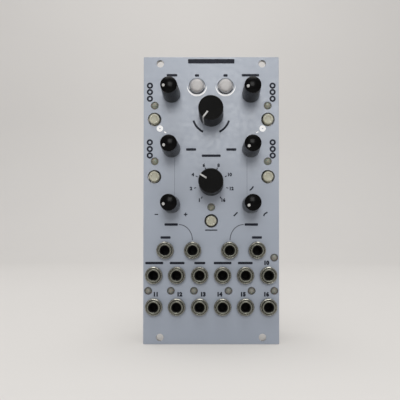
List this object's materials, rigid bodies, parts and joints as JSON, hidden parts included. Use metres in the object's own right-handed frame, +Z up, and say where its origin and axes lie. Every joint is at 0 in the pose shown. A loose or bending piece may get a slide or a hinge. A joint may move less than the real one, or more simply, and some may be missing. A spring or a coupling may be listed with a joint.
{
  "type": "eurorack module",
  "caption": "Narrow rack synthesizer module: a drilled aluminium panel with black knobs, push buttons, lamps and jack sockets, and stacked circuit boards behind it.",
  "frame": {"origin": "on the panel's rear face, midway between the two lower screw holes", "axes": "+X to the right as seen from the front, +Y into the rack (the panel faces -Y), +Z up"},
  "size_m": [0.0606, 0.0478, 0.1285],
  "materials": {
    "panel_lacquer": "matt light blue-grey lacquer on aluminium",
    "slim_knob_plastic": "glossy black plastic",
    "large_knob_plastic": "satin black plastic",
    "potentiometer_housing": "moulded housing",
    "small_button_plastic": "cream plastic",
    "large_button_plastic": "translucent light grey plastic",
    "lamp_resin": "clear resin lens, unlit",
    "jack_nickel": "warm grey nickel plate, knurled nut",
    "board_laminate": "black solder mask",
    "chip_epoxy": "moulded epoxy",
    "connector_plastic": "black moulded nylon",
    "spacer_metal": "nickel plate"
  },
  "bodies": {
    "module": {"front_panel": "panel_lacquer", "potentiometer_top_left": "potentiometer_housing", "potentiometer_top_right": "potentiometer_housing", "potentiometer_middle_left": "potentiometer_housing", "potentiometer_middle_right": "potentiometer_housing", "potentiometer_lower_left": "potentiometer_housing", "potentiometer_lower_right": "potentiometer_housing", "potentiometer_large_upper": "potentiometer_housing", "potentiometer_large_lower": "potentiometer_housing", "lamp_upper_left": "lamp_resin", "lamp_upper_right": "lamp_resin", "lamp_lower_left": "lamp_resin", "lamp_lower_right": "lamp_resin", "lamp_centre": "lamp_resin", "lamp_output_1": "lamp_resin", "lamp_output_2": "lamp_resin", "lamp_output_3": "lamp_resin", "lamp_output_4": "lamp_resin", "lamp_output_5": "lamp_resin", "lamp_output_6": "lamp_resin", "lamp_side": "lamp_resin", "jack_upper_1": "jack_nickel", "jack_upper_2": "jack_nickel", "jack_upper_3": "jack_nickel", "jack_upper_4": "jack_nickel", "jack_middle_1": "jack_nickel", "jack_middle_2": "jack_nickel", "jack_middle_3": "jack_nickel", "jack_middle_4": "jack_nickel", "jack_middle_5": "jack_nickel", "jack_middle_6": "jack_nickel", "jack_lower_1": "jack_nickel", "jack_lower_2": "jack_nickel", "jack_lower_3": "jack_nickel", "jack_lower_4": "jack_nickel", "jack_lower_5": "jack_nickel", "jack_lower_6": "jack_nickel", "control_board": "board_laminate", "main_board": "board_laminate", "processor": "chip_epoxy", "board_connector_left": "connector_plastic", "board_connector_right": "connector_plastic", "board_spacer_upper": "spacer_metal", "board_spacer_lower": "spacer_metal", "power_header": "connector_plastic"},
    "slim_knob_top_left": {"slim_knob_top_left": "slim_knob_plastic"},
    "slim_knob_top_right": {"slim_knob_top_right": "slim_knob_plastic"},
    "slim_knob_middle_left": {"slim_knob_middle_left": "slim_knob_plastic"},
    "slim_knob_middle_right": {"slim_knob_middle_right": "slim_knob_plastic"},
    "slim_knob_lower_left": {"slim_knob_lower_left": "slim_knob_plastic"},
    "slim_knob_lower_right": {"slim_knob_lower_right": "slim_knob_plastic"},
    "large_knob_upper": {"large_knob_upper": "large_knob_plastic"},
    "large_knob_lower": {"large_knob_lower": "large_knob_plastic"},
    "side_button_upper_left": {"side_button_upper_left": "small_button_plastic"},
    "side_button_upper_right": {"side_button_upper_right": "small_button_plastic"},
    "side_button_lower_left": {"side_button_lower_left": "small_button_plastic"},
    "side_button_lower_right": {"side_button_lower_right": "small_button_plastic"},
    "centre_button": {"centre_button": "small_button_plastic"},
    "large_button_left": {"large_button_left": "large_button_plastic"},
    "large_button_right": {"large_button_right": "large_button_plastic"}
  },
  "joints": [
    {"name": "slim_knob_top_left_turn", "type": "hinge", "parent": "module", "child": "slim_knob_top_left", "pos_m": [-0.0177, 0, 0.10861], "axis": [0, 1, 0], "range_deg": [-48, 252]},
    {"name": "slim_knob_top_right_turn", "type": "hinge", "parent": "module", "child": "slim_knob_top_right", "pos_m": [0.0177, 0, 0.10861], "axis": [0, 1, 0], "range_deg": [-38, 262]},
    {"name": "slim_knob_middle_left_turn", "type": "hinge", "parent": "module", "child": "slim_knob_middle_left", "pos_m": [-0.0177, 0, 0.08411], "axis": [0, 1, 0], "range_deg": [-33, 267]},
    {"name": "slim_knob_middle_right_turn", "type": "hinge", "parent": "module", "child": "slim_knob_middle_right", "pos_m": [0.0177, 0, 0.08411], "axis": [0, 1, 0], "range_deg": [-20, 280]},
    {"name": "slim_knob_lower_left_turn", "type": "hinge", "parent": "module", "child": "slim_knob_lower_left", "pos_m": [-0.0177, 0, 0.05921], "axis": [0, 1, 0], "range_deg": [-41, 259]},
    {"name": "slim_knob_lower_right_turn", "type": "hinge", "parent": "module", "child": "slim_knob_lower_right", "pos_m": [0.0177, 0, 0.05921], "axis": [0, 1, 0], "range_deg": [-24, 276]},
    {"name": "large_knob_upper_turn", "type": "hinge", "parent": "module", "child": "large_knob_upper", "pos_m": [0, 0, 0.0993], "axis": [0, 1, 0], "range_deg": [-8, 292]},
    {"name": "large_knob_lower_turn", "type": "hinge", "parent": "module", "child": "large_knob_lower", "pos_m": [0, 0, 0.0684], "axis": [0, 1, 0], "range_deg": [-91, 209]},
    {"name": "side_button_upper_left_press", "type": "slide", "parent": "module", "child": "side_button_upper_left", "axis": [0, 1, 0], "range_m": [0, 0.0003], "stiffness_N_per_m": 2000, "springref_m": -0.0004},
    {"name": "side_button_upper_right_press", "type": "slide", "parent": "module", "child": "side_button_upper_right", "axis": [0, 1, 0], "range_m": [0, 0.0003], "stiffness_N_per_m": 2000, "springref_m": -0.0004},
    {"name": "side_button_lower_left_press", "type": "slide", "parent": "module", "child": "side_button_lower_left", "axis": [0, 1, 0], "range_m": [0, 0.0003], "stiffness_N_per_m": 2000, "springref_m": -0.0004},
    {"name": "side_button_lower_right_press", "type": "slide", "parent": "module", "child": "side_button_lower_right", "axis": [0, 1, 0], "range_m": [0, 0.0003], "stiffness_N_per_m": 2000, "springref_m": -0.0004},
    {"name": "centre_button_press", "type": "slide", "parent": "module", "child": "centre_button", "axis": [0, 1, 0], "range_m": [0, 0.0003], "stiffness_N_per_m": 2000, "springref_m": -0.0004},
    {"name": "large_button_left_press", "type": "slide", "parent": "module", "child": "large_button_left", "axis": [0, 1, 0], "range_m": [0, 0.0003], "stiffness_N_per_m": 2000, "springref_m": -0.0004},
    {"name": "large_button_right_press", "type": "slide", "parent": "module", "child": "large_button_right", "axis": [0, 1, 0], "range_m": [0, 0.0003], "stiffness_N_per_m": 2000, "springref_m": -0.0004}
  ]
}
